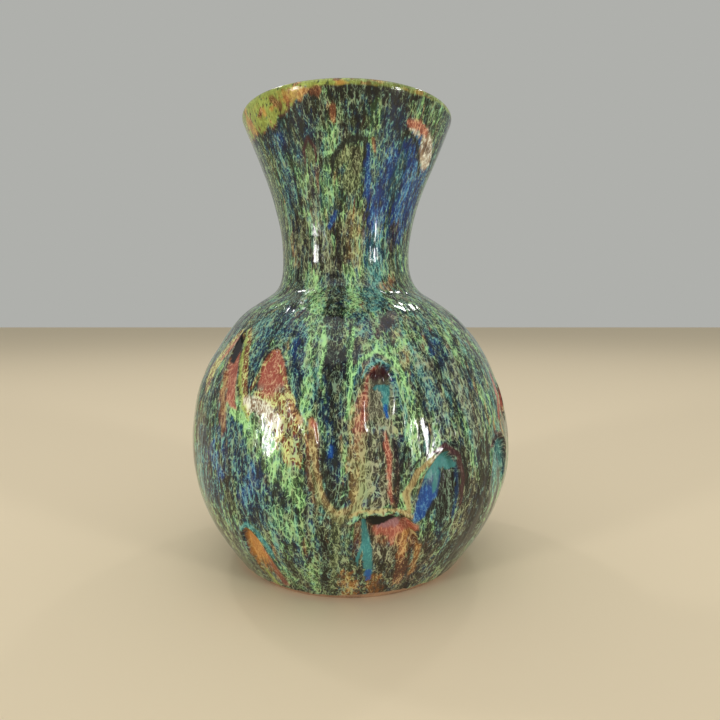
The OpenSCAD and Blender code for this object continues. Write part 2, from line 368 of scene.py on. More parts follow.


# Brush strokes of glaze on the side that faces front. A line is
# the mixture, the share of veins (0.5 is plain), the softness of the edge in mm,
# the strength and how calm the glaze is, then the stroke's points: turn, height
# and half width. A calm glaze, up to 1, has no pits or veins, as in a pool.
# These strokes lie under the scoops' own glaze.
STROKES = read_strokes("""
# neck, left to right
olive 0.5 8 0.7 0  -80 255 20  -72 185 12
navy 0.46 4 0.95 0  -46 258 10  -36 250 9  -44 226 6
cobalt 0.46 3 0.6 0  -40 256 4  -32 246 4
teal 0.46 3 0.7 0  -34 262 4  -31 250 4
navy 0.46 3 0.7 0  -48 226 4  -46 208 4
navy 0.44 3 0.9 0  -26 268 8  -20 254 5
black 0.42 3 0.9 0  -16 270 8  -12 262 5
mint 0.56 2 0.7 0  -36 244 4  -31 232 3
black 0.44 2 0.8 0  -14 258 2  -17 246 3  -13 238 2
mint 0.55 2.5 0.6 0  -6 260 3  -9 246 3  -12 228 3  -16 206 2
black 0.43 4 0.85 0  4 278 18  2 266 9  6 256 4
black 0.44 4 0.85 0  24 278 16  30 264 8
black 0.44 3 0.7 0  -26 262 6  -34 250 4
mint 0.56 2 0.8 0  16 268 2.5  17 250 2.5  19 236 2
navy 0.46 4 0.95 0  28 264 7  26 244 9  24 222 6
teal 0.48 3 0.9 0  40 254 6  36 240 7  34 224 5
cobalt 0.44 3 1 0  44 252 8  50 230 11  48 206 7
cobalt 0.44 3 0.95 0  32 246 5  30 228 6  26 212 6
cobalt 0.45 3 0.9 0  64 244 7  62 215 5
teal 0.48 2.5 0.8 0  38 246 3  36 226 4
cobalt 0.44 3 0.95 0  23 226 5  25 208 5  24 192 5
teal 0.48 3 0.85 0  25 200 4  24 184 6
maroon 0.46 2.5 0.85 0  46 208 4  43 196 3
rust 0.47 2.5 0.7 0  -49 206 3  -46 188 3
brown 0.46 4 0.85 0  -42 208 7  -30 185 7
brown 0.45 3 0.85 0  -18 204 5  -12 182 6
maroon 0.45 2 0.8 0  -9 208 3  -4 203 3
brown 0.46 4 0.8 0  0 205 6  -2 182 6
tan 0.54 3 0.55 0  8 212 4  8 188 5
black 0.45 2.5 0.9 0  -46 182 3  -38 172 4  -28 162 4
mint 0.6 2.5 0.85 0  -30 182 2.5  -22 173 3.5  -14 158 5  -12 146 5
mint 0.58 2 0.75 0  3 184 3  5 172 3.5  4 160 3
teal 0.52 3 0.85 0  28 184 5  20 170 5  14 160 4
rust 0.48 1.8 0.85 0  28 173 2.2  42 178 2.2
olive 0.52 3 0.7 0  44 184 4  50 176 4
# shoulder
mint 0.6 1.6 0.8 0  -62 158 2  -46 160 2  -36 164 1.5
navy 0.46 3 0.9 0  -30 158 5  -25 148 6
teal 0.52 3 0.7 0  -42 154 4  -38 146 4
black 0.43 3 0.85 0  -6 176 4.5  -6 156 5  -4 134 7
navy 0.46 3 0.8 0  6 156 4  8 146 4
maroon 0.42 2 0.9 0  22 157 3  16 152 3.4  12 146 2
maroon 0.46 2 0.7 0  5 143 3  2 134 3
tan 0.55 2 0.7 0  20 146 3  22 136 3  18 130 2
mint 0.6 1.6 0.8 0  10 142 2  16 139 2.4  24 146 2.4
cobalt 0.44 2 0.85 0  35 142 3.4  34 136 3
black 0.44 3 0.7 0  36 134 4  32 122 4
teal 0.52 2.5 0.7 0  24 140 3  27 126 3
mint 0.6 2 0.7 0  42 146 2  58 150 2
# belly, left
red 0.5 2 0.9 0  -56 142 3.5  -60 130 3
lime 0.56 1.5 0.8 0  -57 138 3  -61 124 5  -58 116 3
rust 0.48 2 0.85 0  -52 140 3  -49 126 3.5
tan 0.54 2.5 0.6 0  -46 116 4  -42 106 3
navy 0.45 1.8 0.95 0  -36 148 5  -33.5 134 5  -33.5 120 2.5
navy 0.46 1.8 0.95 0  -20 150 5  -17 138 4.4  -16 122 3
cobalt 0.45 1.5 0.7 0  -19 144 2  -17.5 134 2
black 0.44 4 0.8 0  -54 108 7  -54 88 6
cobalt 0.46 3.5 0.75 0  -48 82 5  -42 74 5
navy 0.48 4 0.9 0  -56 90 7  -54 64 9  -46 58 6
teal 0.47 3 0.9 0  -60 78 7  -56 58 6
cobalt 0.46 3 0.6 0  -44 96 4  -40 84 4
navy 0.465 5 0.95 0  -37 98 10  -31 80 13  -28 56 10
cobalt 0.47 3 0.6 0  -28 76 4  -33 62 4
mint 0.58 2 0.8 0  -12 134 2.4  -12 116 3  -13 104 3
mint 0.6 3 0.95 0  -36 112 4  -28 98 8  -18 80 9  -14 68 5
crackle 0.53 3 0.95 0  -22 108 8  -16 98 9  -15.5 88 6
mint 0.58 4 0.6 0  -20 58 6  -18 48 6
# dark tongue down the middle and its green banks
black 0.43 1.8 0.95 0  -4 134 7  -5 112 6  -4.5 92 4.4  -3.5 68 3.4
navy 0.46 1.5 0.8 0  -7 128 1.6  -6 108 2.4  -3 76 2
# centre right
tan 0.52 2.5 0.85 0  3 112 3  3 88 5  4 66 6
grey 0.53 2.5 0.95 0  9 116 7  8 96 9  7.5 70 9
grey 0.53 3 0.75 0  27 132 5  29 112 6  32 98 5
teal 0.52 2.5 0.7 0  26 128 3  27 112 3
navy 0.49 3 0.7 0  34 150 4  38 132 6  40 112 5
navy 0.48 3 0.6 0  28 122 4  30 104 4
black 0.44 2 0.8 0  17 92 2.6  16 72 3
mint 0.6 2 0.85 0  18 124 2.6  20 108 3.4  19 94 3.4  20 84 2
mint 0.6 1.4 0.8 0  17 76 2  15.5 66 2.6  18 58 2
teal 0.5 3 0.6 0  40 106 3  41 92 3
grey 0.54 4 0.7 0  40 126 6  44 104 7  44 88 5
brown 0.45 5 0.95 0  40 62 13  44 30 13
black 0.43 4 0.9 0  46 84 6  48 50 9  40 24 10
# below the pocket and along the foot
olive 0.54 4 0.7 0  -3 54 5  -2 24 6
brown 0.45 5 0.95 0  10 34 12  16 10 16
maroon 0.45 5 0.7 0  24 40 8  28 16 10
black 0.44 3 0.7 0  -6 40 3  -7 10 4
ochre 0.5 2.5 0.7 0  -1 20 4  1 8 5
ochre 0.5 2.5 0.6 0  9 20 3  10 8 4
mint 0.6 2 0.7 0  -14 26 2.6  -13 8 2.6
mint 0.58 2 0.6 0  -24 20 3  -22 8 3
navy 0.44 2 0.7 0  -16 40 2.4  -17 26 2.4
olive 0.48 7 0.8 0  -50 36 12  -62 10 14
""")

# Lines and drips that lie over everything else, written in the same way
# painted shadow in the recess at the top of the left slot
# painted shadow under the pocket's overhanging lip
# speckled foot of the red lobe, and a painted highlight on it
# the near-white cream is partly speckled glaze and partly a painted highlight
DRIPS = read_strokes("""
# iron in the lime band
rust 0.5 1.6 0.85 0  -38 275 2.2  -34 270 1.6
rust 0.5 1.6 0.85 0  -20 276 1.8  -13 275 2.4
ochre 0.5 3 0.7 0.3  -66 270 4  -62 264 3
ochre 0.5 2 0.6 0.3  -30 276 3  -22 274 3
# the orange-lipped patch by the right of the mouth
black 0.42 0.8 0.9 0.3  35 258 0.8  44 255.5 1.4  50 250 1.4  58 240 1.2
cream 0.5 1.6 0.9 0  51 260 3  56 254 6  62 248 6
red 0.56 0.8 0.95 0  36 262.5 1.8  44 262 2.8  51 260 2.2
cream 0.54 0.6 0.8 0.3  38 259.5 0.7  46 258 1.2
maroon 0.5 1.4 0.6 0  53 254 1.6  60 253 2.2
cream 0.52 0.6 0.9 0.3  52 250 0.8  58 245 1.2  68 247 1
# lobes on the neck
rust 0.46 1 0.85 0.2  -6 266 2  -6.5 260 1.4
maroon 0.42 0.6 1 0.4  -25.5 241 0.6  -25 248 1  -21.5 252.5 1.3  -18 248 1  -18 242 0.6
olive 0.52 0.6 0.95 0.5  -21.5 248.5 1.7  -21.5 243 2
olive 0.52 1.6 0.9 0.05  -3 241 3  3 245 3.6  8 245 3.6  4 230 5.5
brown 0.5 1.6 0.6 0  6 246 2.4  7 236 1.6
black 0.4 0.5 1 0.7  -9 232 0.5  -7 243 1.2  0 250 1.6  8 252.5 2  12 251 1.6  12 240 0.8
cobalt 0.46 1.2 0.9 0  13.5 249 0.8  14.5 238 1.6  16.5 224 1.8
rust 0.5 0.8 0.8 0  16 252 1.2  18 246 0.8
cobalt 0.47 1 0.9 0  -12 207 1  -9 211 1.8  -6.5 215 0.8
# arms of the left slot
black 0.44 0.6 0.8 0.3  -47 152 0.5  -51 147 0.8  -58 137 0.9  -62 126 0.6
crackle 0.55 1.4 0.95 0  -53 147 2.4  -57 138 5.4  -61 126 6  -59 115 3.4
red 0.46 1.2 0.8 0.3  -51 145 1.8  -54 139 2.4  -57 132 1.8
red 0.48 1.6 0.9 0.4  -48 134 2  -44 124 4  -40.5 113 3.2  -37 105 1.8  -33 103 0.9
rust 0.5 2.4 0.7 0.3  -47 122 2.4  -44 106 3.4  -42 96 2.4
maroon 0.42 0.5 0.9 0.4  -44 138 0.6  -38.5 124 0.9  -36 112 0.6
crackle 0.5 0.8 0.95 0  -47 149 1.2  -42 142 2  -38 130 2.4  -34.5 117 2.2  -31.5 106 1.6
lime 0.6 0.6 0.9 0.3  -48 148 0.5  -44 142 0.9  -40.5 132 1.1  -37 119 1.1  -33.5 108 1.1  -31 103 0.9
mint 0.66 1 0.95 0  -39 106 2  -34 103 3  -31 99 2
void 0.4 0.7 1 1  -51.6 148 0.7  -50.2 141 1.9  -47.6 131 0.9
# speckled foot of the red lobe
crackle 0.54 2.5 0.9 0  -29 116 2.4  -23 114 4.5  -17 114 2.4
cream 0.54 2.5 0.8 0  -32 112 3  -26 109 4  -21 103 3
crackle 0.58 1 0.8 0  -31.5 119 1.2  -30 127 0.8  -27.5 136 0.5
crackle 0.58 1.2 0.8 0  -16 113 1.8  -19.5 122 1.2  -23.5 131 0.6
blush 0.5 2.4 0.9 0.4  -25.5 133 2.2  -25 120 4.6
rust 0.5 1.4 0.8 0  -17 112 2.2  -14 105 2.6
# banks of the dark tongue
mint 0.64 0.8 0.9 0  -9 150 1  -7.5 138 1.2  -8.5 128 1  -6 114 0.6
mint 0.62 0.8 0.9 0  3 150 0.8  1.5 136 1.2  1.8 122 1  0 106 0.8
cobalt 0.45 0.5 1 0.3  -4.5 93 1  -4.5 89 1
rust 0.5 1.2 0.6 0  -10 100 1.6  -9 84 1.6  -7 68 1.2
tan 0.52 1.8 0.85 0.15  -10 100 1.8  -9.2 80 2.4  -7.5 66 2.8  -3 57 3  1.6 62 3  3.4 78 2.6  3.4 96 2
olive 0.52 1.6 0.7 0.2  -10.6 84 1.4  -8 64 1.8  -3 55.5 1.8  1.8 60 1.8  4.2 74 1.4
rust 0.48 0.8 0.8 0.2  -11.6 98 0.8  -11 80 1  -9.6 66 1
black 0.42 0.5 0.9 0.4  -7.4 92 0.5  -6.4 76 0.7  -4.8 66 0.9  -3 62.5 0.9  -1.2 66 0.8  0.4 80 0.5
brown 0.42 0.6 0.8 0.3  -11.5 88 0.7  -10.5 74 0.8  -8.5 60 0.9  -4 52.5 0.9  1 54 0.6
black 0.43 1.4 0.8 0  -7.5 50 1  -8 30 1.6  -8.5 10 1.4
olive 0.54 1.8 0.8 0.1  -3.5 53 2  -3.5 40 1.8  -5 24 2  -7 9 1.6
# centre arch
teal 0.5 0.6 0.9 0.1  5 125 0.4  7 130.5 0.7  11 133.8 0.8  15 130.5 0.6
mint 0.62 0.8 0.85 0  2 126 0.9  5 134 1.1  11 138.5 1.2  17 134 1.4  19 124 1.4
teal 0.46 0.5 1 0.6  10 121.5 1.3  12.6 121 2.4  12.4 115 1.9  12 108 0.9
cobalt 0.45 0.5 1 0.4  12.2 112 1  12 106.5 0.8
navy 0.47 0.7 0.8 0  14.6 127 0.8  16 120 0.9  16.6 110 0.7
red 0.48 2.6 0.8 0.1  6.6 122 1.2  5.2 114 2.6  4.2 104 2.8  3.6 88 1.4
olive 0.52 3 0.7 0.1  4.5 98 2  4 84 3.2  4.5 70 2.6
red 0.45 0.9 0.95 0.15  10.8 101 0.4  11.6 88 1.5  11.4 76 1  12.2 64 0.6
maroon 0.46 0.9 0.85 0  13.4 96 0.7  14 82 1.1  13.8 64 0.8
# right arch
black 0.45 1.2 0.95 0  30.5 76 5.5  30 66 6  29 56 5
navy 0.42 0.8 1 0.5  26 76 4.4  23.8 67 5.4
cobalt 0.43 1.4 0.9 0.3  23.6 66 5  20.5 55 3
black 0.44 0.9 0.9 0.3  26 62 1.8  24 56 1.6
teal 0.42 0.7 1 0.8  24 77 2.6  27.5 83 3.4  31.5 80 2.4
teal 0.42 0.7 0.9 0.7  27 77 2  25.5 68 1.2
navy 0.46 0.6 0.9 0.2  33 79 0.5  33.6 66 0.8  33 52 0.7
maroon 0.42 0.7 1 0.5  24.5 87 0.9  29.6 90.5 1.6  34 84 1.9  35.6 72 1.9  35.2 58 1.2
black 0.42 0.6 0.9 0.2  30 92.5 0.5  36 85 0.8  38 72 0.9  37.5 58 0.6
tan 0.54 0.8 0.95 0.5  25 85.5 0.9  20 79 1.6  16.4 69 1.9  17.6 58 1.4  15 59.5 0.9
black 0.42 0.5 0.8 0.3  23 88.5 0.6  18 81 0.8  14.8 70 0.8
# pocket
tan 0.58 0.6 0.9 0.2  0.5 58.5 0.7  3 60.5 0.9  9 61 1  14 60.5 1  18.5 56 0.9
grey 0.5 2.5 0.8 0  4 48 3  7 36 5  14 34 5
ochre 0.5 2 0.7 0.3  18 46 2.4  17 34 2.2
red 0.46 1.6 0.9 0.5  8.5 47 1.8  14.2 46.5 3.6  19.5 50 2.4
red 0.46 1.8 0.8 0.5  13.5 46 2.4  14 41 1.4
mauve 0.46 1.2 0.9 0.8  10 49.6 2.4  15 50.6 2.4
void 0.4 0.5 1 1  2.6 55 0.6  5.4 53.2 2.5  9 52.4 3.2  13.6 53.6 2.2  18 55.4 0.6
brown 0.46 1.5 0.8 0  6 50 1.6  7 43 2
teal 0.43 0.8 1 0.7  4 56 0.8  4.8 48 1.7  5.8 38 2.5  6.8 22 2.2
cobalt 0.43 1 0.9 0.6  6.8 24 1.8  7.2 18 1
teal 0.46 0.5 0.9 0.7  4.2 40 1  2.8 33 0.9  2.6 27 0.5
rust 0.47 2.4 0.75 0  16 42 2  18 28 3  19 12 2.6
ochre 0.48 1.6 0.6 0  22.5 38 1.4  23.5 18 1.8
# far right
red 0.46 1 0.9 0.4  67 122 1.4  66 112 2.6  61 98 1.4
maroon 0.44 0.6 0.9 0  51 84 0.9  56 90 1.1  61 88 0.9
# teardrop
red 0.46 1.4 0.6 0.4  -31 34 1.2  -29.5 20 2  -27.5 8 2.2
lime 0.52 1 0.9 0.5  -35 14 1.4  -33.5 5 2.4
teal 0.5 0.6 0.95 0.4  -37 43 0.8  -33 47.5 1.3  -29.5 43 1.4  -27 34 1.5  -26.5 28 0.8
""")


# Runs that the whole pot has: mixture, size of the noise behind them, the noise
# that a run starts at, share of veins
RUNS = [
    ("olive", (9, 9, 50), 0.10, 0.49), ("navy", (7, 7, 36), 0.06, 0.48),
    ("brown", (6, 6, 40), 0.12, 0.47), ("mint", (5, 5, 26), 0.16, 0.57),
    ("teal", (6, 6, 26), 0.26, 0.49), ("black", (3.4, 3.4, 34), 0.14, 0.44),
    ("rust", (5, 5, 24), 0.40, 0.48),
]


def cylinder(turn, s):
    """Seamless coordinates for noise round the pot, a little finer where it is narrow."""
    a = np.radians(turn)
    r = 10.0 * np.sqrt(np.interp(s, OUTER_S, OUTER[:, 0]))
    return np.c_[r * np.sin(a), -r * np.cos(a), s]


def parted(turn, s, r):
    """Turn that the glaze at each point has run down from, because runs part round a scoop."""
    source = turn.copy()
    for c in SCOOPS.values():
        t, e, across, drop = in_scoop(c, turn, s, r)
        near = (t > -0.5) & (t < 1.1) & (np.abs(across) < 40)
        x, y, t, e = across[near], drop[near], t[near], e[near]
        wide = half_width(c, t)
        push = step(-14, 6, y) * (1 - step(0.5, 1.05, t)) * bump(x, 0, 24)
        back = np.sign(x) * np.sqrt(np.maximum(x * x - 0.75 * push * wide ** 2, 0.5 * x * x))
        outside = 1 - 0.9 * step(-0.5, 0.4, e)
        source[near] += outside * np.degrees((back - x) / r[near])
    return source


def stroke_mask(path, soft, turn, s, r, fray):
    """Share of a brush stroke at each point, 0 to 1; fray breaks its edge up."""
    best = np.full(len(turn), -1e3)
    nodes = [(a, s_at(z), w) for a, z, w in path]
    for (a0, s0, w0), (a1, s1, w1) in zip(nodes, nodes[1:]):
        x = np.radians(wrap(turn - a0)) * r
        y = s - s0
        dx, dy = np.radians(a1 - a0) * r, s1 - s0
        t = np.clip((x * dx + y * dy) / (dx * dx + dy * dy), 0, 1)
        best = np.maximum(best, w0 + (w1 - w0) * t - np.hypot(x - t * dx, y - t * dy))
    return step(-0.6 * soft, 0.6 * soft, best + 1.3 * soft * fray)


def paint(turn, s, r):
    """The three colours of the glaze at each point, painted shade and a painted highlight among them, and
    how much of its veins shows.
    """
    z = np.interp(s, OUTER_S, OUTER[:, 1])
    run = parted(turn, s, r)
    p = cylinder(run, s)
    q = cylinder(turn, s)
    ragged_turn = turn + 0.9 * noise(p, (4, 4, 22), 11, 3) + 0.6 * noise(q, (1.6, 1.6, 6), 12, 2)
    ragged_s = s + 5.0 * noise(p, (3.5, 3.5, 30), 13, 3)

    fray = noise(p, (2.6, 2.6, 8), 15, 3) + 0.5 * noise(q, (1.5, 1.5, 2.4), 16, 2)

    colours = np.tile(MIX["forest"], (len(turn), 1, 1))
    cover = 0.50 + 0.09 * noise(p, (9, 9, 40), 14, 2) + 0.05 * noise(p, (3, 3, 9), 17, 2)

    def lay(mix, amount, veins=0.5, calm=0.0):
        """Mix a glaze in; calm, 0 to 1, is how far its pits and veins even out, as in a pool."""
        tones = MIX[mix] * (1 - calm) + MIX[mix][1] * calm
        m = amount[:, None, None]
        colours[:] = colours * (1 - m) + tones * m
        cover[:] += (veins - 0.5) * amount

    # Runs of every mixture all round, carried down by the flow
    for k, (mix, size, low, veins) in enumerate(RUNS):
        share = step(low - 0.05, low + 0.2, noise(p, size, 30 + 5 * k, 3) + 0.12 * fray)
        lay(mix, 0.75 * share, veins)
    lay("brown", 0.5 * step(38, 10, z) * step(-0.3, 0.3, noise(p, (12, 12, 50), 90)), 0.47)
    lay("olive", 0.40 * step(30, 6, z), 0.49)

    for mix, veins, soft, strength, calm, path in STROKES:
        lay(mix, strength * stroke_mask(path, soft, ragged_turn, ragged_s, r, fray), veins, calm)

    # Faces and edges of the scoops
    pooled = np.zeros(len(turn))
    for c in SCOOPS.values():
        top, cap, low, left, right = c.glaze
        t, e, across, drop = in_scoop(c, 0.4 * ragged_turn + 0.6 * turn, 0.2 * ragged_s + 0.8 * s, r)
        inside = step(-0.3, 0.5, e)
        pooled = np.maximum(pooled, inside * (1 - step(0.2, 0.6, t)))
        lay(low, inside * 0.85 * (1 - step(0.35, 0.95, t + 0.25 * fray)), 0.5, 0.3)
        # the colour under the arch; black and maroon here are painted shade below the arch's top edge
        lay(top, inside * (1 - step(cap - 1, cap * 1.3 + 1, drop + 2.0 * fray)), 0.44, 0.5)
        rim = bump(e, 0.3, 0.9) * (1 - step(0.25, 0.7, t)) * step(-0.1, 0.02, t) * step(-0.5, 0.1, fray)
        lay(left, rim * step(1.0, -1.0, across), 0.52)
        lay(right, rim * step(-1.0, 1.0, across), 0.52)
        above = (1 - step(0.3, 0.8, t)) * step(-0.5, -0.1, t)
        lay("black", bump(e, -0.7, 0.6) * above * 0.8 * step(-0.7, -0.2, fray), 0.44, 0.4)
        lay("mint", bump(e, -2.4, 1.0) * above * 0.7 * step(-0.4, 0.1, fray), 0.60)
        lay("navy", bump(e, -4.4, 0.9) * above * 0.6 * step(-0.2, 0.2, fray), 0.46)

    # Each fleck of the body leans a little to blue, brown or green
    for mix, seed in (("navy", 21), ("brown", 24), ("olive", 27)):
        flecks = step(0.10, 0.40, noise(p, (2.4, 2.4, 6), seed, 2)) * step(0.25, 0.0, pooled)
        lay(mix, 0.5 * flecks)

    # The lime band over the lip, deep at the left and thin elsewhere, with a ragged lower edge
    deep = step(10, -52, turn) * step(-150, -100, turn)
    edge = s_at(HEIGHT - 1.0 - 17.0 * deep) + 2.6 * (1 - deep)
    edge += (0.8 + 2.6 * deep) * noise(p, (8, 8, 20), 71, 3)
    band = step(-0.6, 0.6, s - edge) * (1 - 0.45 * step(-10, 20, turn) * step(110, 70, turn))
    lay("black", bump(s - edge, -2.2, 2.2) * 0.9 * step(-0.5, 0.1, fray), 0.44, 0.3)
    lay("rust", bump(s - edge, -0.4, 0.8) * deep * 0.8 * step(-0.4, 0.2, fray), 0.44, 0.3)
    lay("lime", band, 0.5, 0.6)
    lay("ochre", band * step(0.10, 0.5, noise(q, (12, 12, 6), 75, 3)) * 0.8, 0.5, 0.4)
    lay("rust", band * step(0.30, 0.5, noise(q, (7, 7, 4), 77, 3) + 0.1 * fray), 0.47)
    lay("black", band * step(0.42, 0.5, noise(q, (2.2, 2.2, 2.0), 79, 2)) * 0.8, 0.4)

    for mix, veins, soft, strength, calm, path in DRIPS:
        drip = stroke_mask(path, soft, turn + 0.3 * fray, s + 0.8 * fray, r, 0.7 * fray)
        lay(mix, strength * drip, veins, calm)
    return colours, np.clip(cover, 0.05, 0.95), cylinder(run, s)


def relief(turn, s, r):
    """Height of the outside above the turned outline, and its downward pull."""
    z = np.interp(s, OUTER_S, OUTER[:, 1])
    p = cylinder(parted(turn, s, r), s)
    height, hood = scoop_relief(turn, s, r)
    calm = step(HEIGHT - 1, HEIGHT - 12, z)
    height += calm * (0.45 * noise(cylinder(turn, s), (38, 38, 46), 51, 2)
                      + (0.30 - 0.20 * step(165, 185, z)) * noise(p, (9, 9, 50), 52, 2))
    return height, hood


def fine_relief(turn, s, r):
    """Small runs and pits in the face of the glaze only."""
    p = cylinder(parted(turn, s, r), s)
    return (0.10 - 0.06 * step(160, 180, s)) * noise(p, (2.6, 2.6, 14), 61, 3)


# ------------------------------------------------------------------- meshes
def mesh_piece(name, rows, poles, nodes, material, fields=None, custom=None):
    """A closed turned piece from rows of points: a ring of rows, or capped by two poles."""
    n_rows, n_cols = rows.shape[:2]
    points = rows.reshape(-1, 3)
    k = np.arange(n_rows - (1 if poles is not None else 0))
    j = np.arange(n_cols)
    a = (k[:, None] * n_cols + j).ravel()
    b = (k[:, None] * n_cols + (j + 1) % n_cols).ravel()
    up = ((k[:, None] + 1) % n_rows * n_cols)
    faces = np.c_[a, b, (up + (j + 1) % n_cols).ravel(), (up + j).ravel()]
    loops, sizes = faces.ravel(), np.full(len(faces), 4)
    if poles is not None:
        base = len(points)
        points = np.vstack([points, poles])
        last = (n_rows - 1) * n_cols
        under = np.c_[(j + 1) % n_cols, j, np.full(n_cols, base)]
        over = np.c_[last + j, last + (j + 1) % n_cols, np.full(n_cols, base + 1)]
        loops = np.concatenate([loops, under.ravel(), over.ravel()])
        sizes = np.concatenate([sizes, np.full(2 * n_cols, 3)])
    mesh = bpy.data.meshes.new(name)
    mesh.vertices.add(len(points))
    mesh.vertices.foreach_set("co", (points * MM).ravel())
    mesh.loops.add(len(loops))
    mesh.loops.foreach_set("vertex_index", loops)
    mesh.polygons.add(len(sizes))
    mesh.polygons.foreach_set("loop_start", np.concatenate([[0], np.cumsum(sizes)[:-1]]))
    mesh.update(calc_edges=True)
    mesh.polygons.foreach_set("use_smooth", np.ones(len(sizes), bool))
    for key, (kind, values) in (fields or {}).items():
        layer = mesh.attributes.new(key, kind, "POINT")
        padded = np.zeros((len(points),) + values.shape[1:])
        padded[:len(values)] = values
        target = {"FLOAT": "value", "FLOAT_VECTOR": "vector", "FLOAT_COLOR": "color"}[kind]
        layer.data.foreach_set(target, padded.ravel())
    mesh.validate()
    if custom is not None:
        ends = [] if poles is None else [(0, 0, -1), (0, 0, 1)]
        mesh.normals_split_custom_set_from_vertices(np.vstack([custom.reshape(-1, 3), *ends]))
    piece = bpy.data.objects.new(name, mesh)
    bpy.context.scene.collection.objects.link(piece)
    mesh.materials.append(material)
    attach(piece, BODY)
    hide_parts(*nodes)


def place(turn, r, z):
    """Points in the row frame, with the pot's lean."""
    a = np.radians(turn)
    return np.stack([r * np.sin(a) + lean_x(z), -r * np.cos(a), z], axis=-1)


GLAZE_COLUMNS = 840       # points round the pot in the glaze
GLAZE_REACH = 2.5         # how far the back of the glaze keeps clear of a scoop's edge
BACK_SPACING = 4.0
CLAY_COLUMNS = 256
CLAY_SPACING = 2.5
CLAY_REACH = 3.0
CLAY_GAP = 0.1            # between the clay and the back of the glaze


def turns(columns):
    return np.arange(columns) * 360.0 / columns - 180


def outer_rows(s_rows, columns, depth=0.0, fine=False):
    """Rows of points on the outside at given lengths up the outline; s_rows may differ by column."""
    s = np.broadcast_to(s_rows, (len(s_rows), columns)).ravel()
    turn = np.tile(turns(columns), len(s_rows))
    r, z, nr, nz = on_outline(s)
    height, hood = relief(turn, s, r)
    if fine:
        height = height + fine_relief(turn, s, r) * step(HEIGHT + 1, HEIGHT - 6, z)
    height = height - depth
    rows = place(turn, r + height * nr + hood * nz, z + height * nz - hood * nr)
    return rows.reshape(len(s_rows), columns, 3)


def under_rows(s_rows, columns, depth, reach):
    """Rows that stay a depth below the outside, also where a scoop's edge is within reach."""
    s = np.broadcast_to(s_rows, (len(s_rows), columns)).ravel()
    turn = np.tile(turns(columns), len(s_rows))
    r, z, nr, nz = on_outline(s)
    lowest = np.full(len(s), 1e3)
    for ds in (-reach, 0, reach):
        for da in (-reach, 0, reach):
            near = np.clip(s + ds, 0, OUTER_S[-1])
            lowest = np.minimum(lowest, relief(turn + np.degrees(da / r), near, r)[0])
    height = lowest - depth
    rows = place(turn, r + height * nr, z + height * nz)
    return rows.reshape(len(s_rows), columns, 3)


def lining_rows(z_low, z_high, spacing, columns, depth=0.0):
    """Rows on the face of the lining, or a depth behind it, from one height up to another."""
    low, high = (np.interp(z, INNER[:, 1], INNER_S) if z else 0.0 for z in (z_low, z_high))
    s = np.linspace(low, high, max(int((high - low) / spacing), 2) + 1)[:, None]
    r, z = (np.interp(s, INNER_S, (INNER + depth * INNER_N)[:, i]) for i in (0, 1))
    turn, r, z = np.broadcast_arrays(turns(columns), np.maximum(r, 0), z)
    return place(turn, r, z)


def surface_normals(rows):
    """Vertex normals of a grid that wraps round, from its own neighbours."""
    upward = np.gradient(rows, axis=0)
    sideways = np.roll(rows, -1, 1) - np.roll(rows, 1, 1)
    n = np.cross(sideways, upward)
    return n / np.linalg.norm(n, axis=2, keepdims=True)


# ---------------------------------------------------------------- materials
def shader(name):
    """A new material, its node tree, a function that adds nodes, and its Principled shader."""
    material = bpy.data.materials.new(name)
    material.use_nodes = True
    tree = material.node_tree
    tree.nodes.clear()

    def add(kind, inputs=None, **settings):
        node = tree.nodes.new(kind)
        for key, value in settings.items():
            setattr(node, key, value)
        for key, value in (inputs or {}).items():
            if isinstance(value, bpy.types.NodeSocket):
                tree.links.new(value, node.inputs[key])
            else:
                node.inputs[key].default_value = value
        return node

    body = add("ShaderNodeBsdfPrincipled")
    out = add("ShaderNodeOutputMaterial")
    tree.links.new(body.outputs[0], out.inputs[0])
    return material, tree, add, body


def remap(add, value, low, high, to_low=0.0, to_high=1.0, kind="SMOOTHSTEP"):
    node = add("ShaderNodeMapRange", {0: value, 1: low, 2: high, 3: to_low, 4: to_high},
               interpolation_type=kind)
    return node.outputs[0]


def blend(add, amount, a, b, mode="MIX"):
    node = add("ShaderNodeMix", {0: amount, 6: a, 7: b}, data_type="RGBA", blend_type=mode)
    return node.outputs[2]


def maths(add, operation, a, b=0.0, c=0.0):
    return add("ShaderNodeMath", {0: a, 1: b, 2: c}, operation=operation).outputs[0]


def stretched(add, vector, size):
    """The vector in units of the given lengths."""
    return add("ShaderNodeMapping", {"Vector": vector, "Scale": [1.0 / v for v in size]}).outputs[0]


def waves(add, vector, size, detail=4.0, rough=0.55, twist=0.0, output="Fac"):
    """Noise whose largest waves have the given lengths in millimetres."""
    return add("ShaderNodeTexNoise", {
        "Vector": stretched(add, vector, size), "Scale": 1.0, "Detail": detail, "Roughness": rough,
        "Distortion": twist}).outputs[output]


def object_mm(add):
    """Coordinates in millimetres on a piece that carries none of its own."""
    return stretched(add, add("ShaderNodeTexCoord").outputs["Object"], (MM, MM, MM))


def bumpy(add, tree, body, height, strength, distance):
    node = add("ShaderNodeBump", {"Height": height, "Strength": strength, "Distance": distance})
    tree.links.new(node.outputs[0], body.inputs["Normal"])


VEIN_BUMP = 0.14          # strength of the relief of the veins


